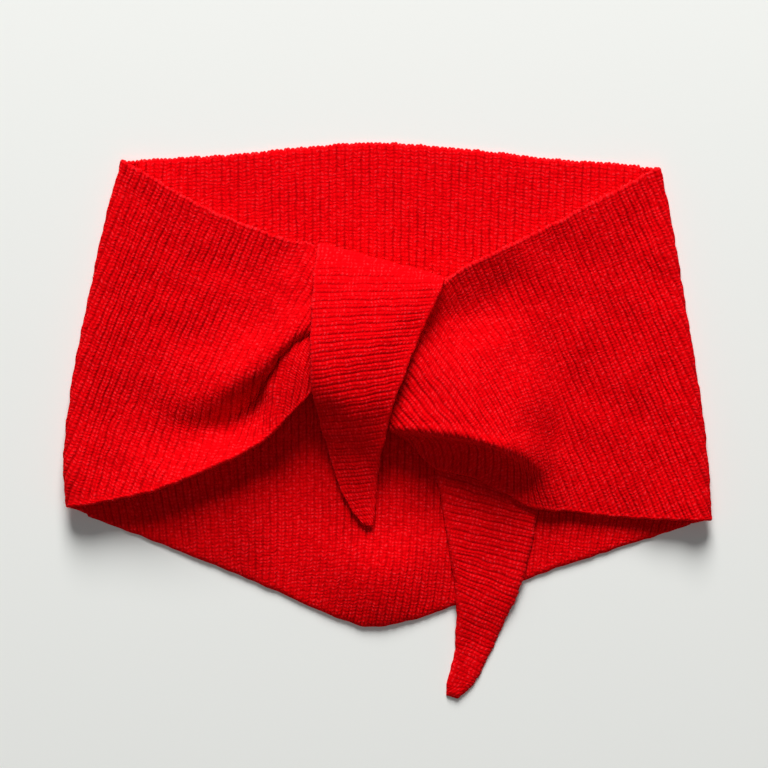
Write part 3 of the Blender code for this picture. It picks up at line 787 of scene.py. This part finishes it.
def knit_material():
    """Red wool: the loops down each leg of a rib with painted shade between them, painted shade in the
    grooves, fuzz, and painted glints on the fuzz and along the cast-on edge. The map knit counts ribs and
    courses, edges gives the distance from the cast-on edge and how closed the ribs lie, and tone gives the
    painted light and shade of each piece and how much painted shade its grooves get."""
    material = bpy.data.materials.new("red_rib_knit")
    material.use_nodes = True
    tree = Tree(material)
    shader = tree.nodes["Principled BSDF"]
    ribs, courses = tree.map("knit")
    from_cast_on, closed = tree.map("edges")
    coordinates = tree.node("ShaderNodeTexCoord").outputs["Object"]

    def noise(scale, detail, roughness):
        made = tree.node(
            "ShaderNodeTexNoise", Vector=coordinates, Scale=scale, Detail=detail, Roughness=roughness
        )
        return made.outputs["Fac"]

    patches = noise(45.0, 3.0, 0.6)
    drift = noise(230.0, 1.0, 0.5)
    tuft = noise(620.0, 2.0, 0.6)
    fibre = noise(1900.0, 3.0, 0.7)
    phase = tree.math("FRACT", ribs)
    side = tree.math("ABSOLUTE", tree.math("SUBTRACT", tree.math("MULTIPLY", phase, 2.0), 1.0))
    leg = tree.math("FLOOR", tree.math("MULTIPLY", ribs, 2.0))
    chain = tree.math("ADD", courses, tree.math("MULTIPLY", side, 0.28))
    chain = tree.math("ADD", chain, tree.math("MULTIPLY", drift, 1.5))
    loop_number = tree.math("FLOOR", chain)
    wave = tree.math("COSINE", tree.math("MULTIPLY", chain, 2 * math.pi))
    loop = tree.math("ADD", tree.math("MULTIPLY", wave, -0.5), 0.5)
    across = tree.math("SINE", tree.math("MULTIPLY", phase, 2 * math.pi))
    crown = tree.math("POWER", tree.math("ABSOLUTE", across), 0.6)
    bead = tree.math("MULTIPLY", tree.math("POWER", loop, 0.7), crown)
    spot = tree.node("ShaderNodeCombineXYZ", X=leg, Y=loop_number)
    dice = tree.node("ShaderNodeTexWhiteNoise", {"noise_dimensions": "2D"}, Vector=spot.outputs[0])
    chance = dice.outputs["Value"]

    painted_shading, shade = tree.map("painted_shading")
    # painted shade in the grooves between the ribs, deeper where they lie closed and as each piece's shade
    # sets, and painted shade down the crease of each rib
    groove = tree.math("MULTIPLY", tree.ramp(side, 0.56, 0.96), tree.math("MULTIPLY", closed, shade))
    crease = tree.math("MULTIPLY", tree.ramp(side, 0.34, 0.0), closed)
    uneven = tree.ramp(noise(140.0, 2.0, 0.6), 0.3, 0.7, 0.55, 1.35)
    light = tree.math("SUBTRACT", 1.0, tree.math("MULTIPLY", tree.math("MULTIPLY", groove, uneven), 0.42))
    # the painted light and shade over each piece
    light = tree.math("MULTIPLY", light, painted_shading)
    light = tree.math("MULTIPLY", light, tree.math("SUBTRACT", 1.0, tree.math("MULTIPLY", crease, 0.10)))
    # painted shade on the loops: lighter on their crowns, darker between them; the other fields make the
    # yarn's lightness differ at random
    for least, field, more in (
        (0.85, bead, 0.18), (0.90, chance, 0.20), (0.84, patches, 0.32), (0.76, tuft, 0.48),
        (0.82, fibre, 0.36),
    ):
        light = tree.math("MULTIPLY", light, tree.math("ADD", least, tree.math("MULTIPLY", field, more)))

    colour = tree.node("ShaderNodeMix", {"data_type": "RGBA"})
    tree.put(colour.inputs["Factor"], light)
    tree.put(colour.inputs["A"], DARK_RED)
    tree.put(colour.inputs["B"], LIGHT_RED)

    # painted highlights: pale glints of fuzz on the crowns of some loops, and along the cast-on edge
    fuzz_glint = tree.math("MULTIPLY", tree.ramp(chance, 0.15, 0.95), tree.ramp(bead, 0.35, 0.9))
    fuzz_glint = tree.math("MULTIPLY", fuzz_glint, tree.ramp(fibre, 0.44, 0.64))
    edge_glint = tree.math("MULTIPLY", tree.ramp(from_cast_on, 0.3, 1.5, 1.0, 0.0), tree.ramp(tuft, 0.38, 0.7))
    faint = tree.math("ADD", tree.math("MULTIPLY", fuzz_glint, 0.60), tree.math("MULTIPLY", edge_glint, 0.22))
    pale = tree.node("ShaderNodeMix", {"data_type": "RGBA"})
    tree.put(pale.inputs["Factor"], faint)
    tree.put(pale.inputs["A"], colour.outputs["Result"])
    tree.put(pale.inputs["B"], PAINTED_GLINT_RED)
    tree.links.new(pale.outputs["Result"], shader.inputs["Base Color"])

    height = tree.math("ADD", tree.math("MULTIPLY", bead, 0.20), tree.math("MULTIPLY", fibre, 0.22))
    height = tree.math("ADD", height, tree.math("MULTIPLY", tuft, 0.30))
    bump = tree.node("ShaderNodeBump", Height=height, Strength=0.8, Distance=0.001)
    tree.links.new(bump.outputs[0], shader.inputs["Normal"])
    shader.inputs["Roughness"].default_value = 0.95
    shader.inputs["Specular IOR Level"].default_value = 0.02
    shader.inputs["Sheen Weight"].default_value = 0.03
    shader.inputs["Sheen Roughness"].default_value = 0.5
    shader.inputs["Sheen Tint"].default_value = SHEEN_RED
    material.diffuse_color = PLAIN_RED
    return material


def floor_material():
    material = bpy.data.materials.new("pale_floor")
    material.use_nodes = True
    tree = Tree(material)
    shader = tree.nodes["Principled BSDF"]
    shader.inputs["Base Color"].default_value = PALE_FLOOR
    shader.inputs["Roughness"].default_value = 0.9
    shader.inputs["Specular IOR Level"].default_value = 0.1
    return material


# ---------------------------------------------------------------- the scene

CAMERA = (-0.0021, 0.0191, 1.2)  # metres, looking straight down
VIEW_WIDTH = 0.407  # metres of the floor across the picture
SENSOR = 36
FLOOR_REACH = 3  # metres from the middle of the floor to its sides


# painted light and shade: the back panel lighter at its top and darker towards its lower edge
def back_painted_shading(x, y):
    return 1.09 - 0.17 * smooth_step(40, -40, y)


# painted shade in the back panel's grooves, stronger towards its top
def back_shade(x, y):
    return 0.68 + 0.30 * smooth_step(20, 70, y)


# painted light: the front tail lighter where it lies over the top of the knot
def front_tail_painted_light(x, y):
    return 0.95 + 0.12 * smooth_step(10, 60, y)


def add_cloths():
    yarn = knit_material()
    # the lightness and the groove shade given to each piece below are painted light and shade, set piece by
    # piece
    back = cloth(
        "back_knit", back_panel_grid(), upper_is_outer=False, unevenness=0, depth=back_depth,
        painted_shading=back_painted_shading, laid=True, fibres=2600, shade=back_shade, seed=1
    )
    left_net = front_net(fold_sections(LEFT_FOLD, LEFT_EDGES, 1, LEFT_TURN), LEFT_FRONT, LEFT_RIBS)
    left = cloth(
        "left_front_knit", loft(left_net, LEFT_ROW_STEP), depth=left_depth, strip=1.2, painted_shading=left_painted_shade,
        shade=0.85, seed=2
    )
    right_net = front_net(fold_sections(RIGHT_FOLD, RIGHT_EDGES, -1, RIGHT_TURN), RIGHT_FRONT, RIGHT_RIBS)
    right = cloth(
        "right_front_knit", loft(right_net, RIGHT_ROW_STEP), depth=right_depth, strip=1.2, painted_shading=0.92,
        shade=0.78, seed=3
    )
    front_tail = cloth(
        "front_tail_knit", front_tail_grid(), ends=(False, True), depth=read_down(FRONT_TAIL_DEPTH),
        painted_shading=front_tail_painted_light, strip=2.2, bumps=0.2, fibres=1000, shade=0.85, seed=4
    )
    back_tail = cloth(
        "back_tail_knit", back_tail_grid(), ends=(False, True), cast_on_first=False, unevenness=0.15,
        depth=read_down(BACK_TAIL_DEPTH), painted_shading=0.86, strip=2.6, laid=True, bumps=0.4, fibres=700, seed=5
    )
    inside = core()
    for piece, node in (
        (back, "back_panel"), (left, "left_front"), (right, "right_front"), (front_tail, "front_tail"),
        (back_tail, "back_tail"), (inside, "knot_core"),
    ):
        piece.data.materials.append(yarn)
        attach(piece, "root")
        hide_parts(node)


def add_floor():
    mesh = bpy.data.meshes.new("floor")
    reach = FLOOR_REACH
    mesh.from_pydata([(-reach, -reach, 0), (reach, -reach, 0), (reach, reach, 0), (-reach, reach, 0)], [],
                     [(0, 1, 2, 3)])
    floor = linked("floor", mesh)
    floor.data.materials.append(floor_material())


def add_camera():
    lens = bpy.data.cameras.new("camera")
    camera = linked("camera", lens)
    camera.location = CAMERA
    lens.sensor_width = SENSOR
    lens.lens = SENSOR * CAMERA[2] / VIEW_WIDTH
    lens.clip_start = 0.01
    bpy.context.scene.camera = camera


def add_lamp(name, where, size, power):
    """A soft round lamp that shines at the middle of the neckerchief."""
    lamp = bpy.data.lights.new(name, "AREA")
    lamp.shape = "DISK"
    lamp.size = size
    lamp.energy = power
    thing = linked(name, lamp)
    thing.location = where
    aim = -np.array(where)
    flat = math.hypot(aim[0], aim[1])
    thing.rotation_euler = (math.atan2(flat, -aim[2]), 0, math.atan2(aim[1], aim[0]) - math.pi / 2)


def add_surroundings():
    scene = bpy.context.scene
    world = bpy.data.worlds.new("studio")
    scene.world = world
    world.use_nodes = True
    world.node_tree.nodes["Background"].inputs["Color"].default_value = (0.95, 0.97, 1.0, 1)
    world.node_tree.nodes["Background"].inputs["Strength"].default_value = 0.10
    scene.view_settings.view_transform = "Standard"


add_cloths()
add_floor()
add_camera()
add_lamp("window", (0.0, 3.4, 2.02), size=2.0, power=234)
add_lamp("room", (0, -0.6, 3.4), size=2.4, power=10)
add_surroundings()
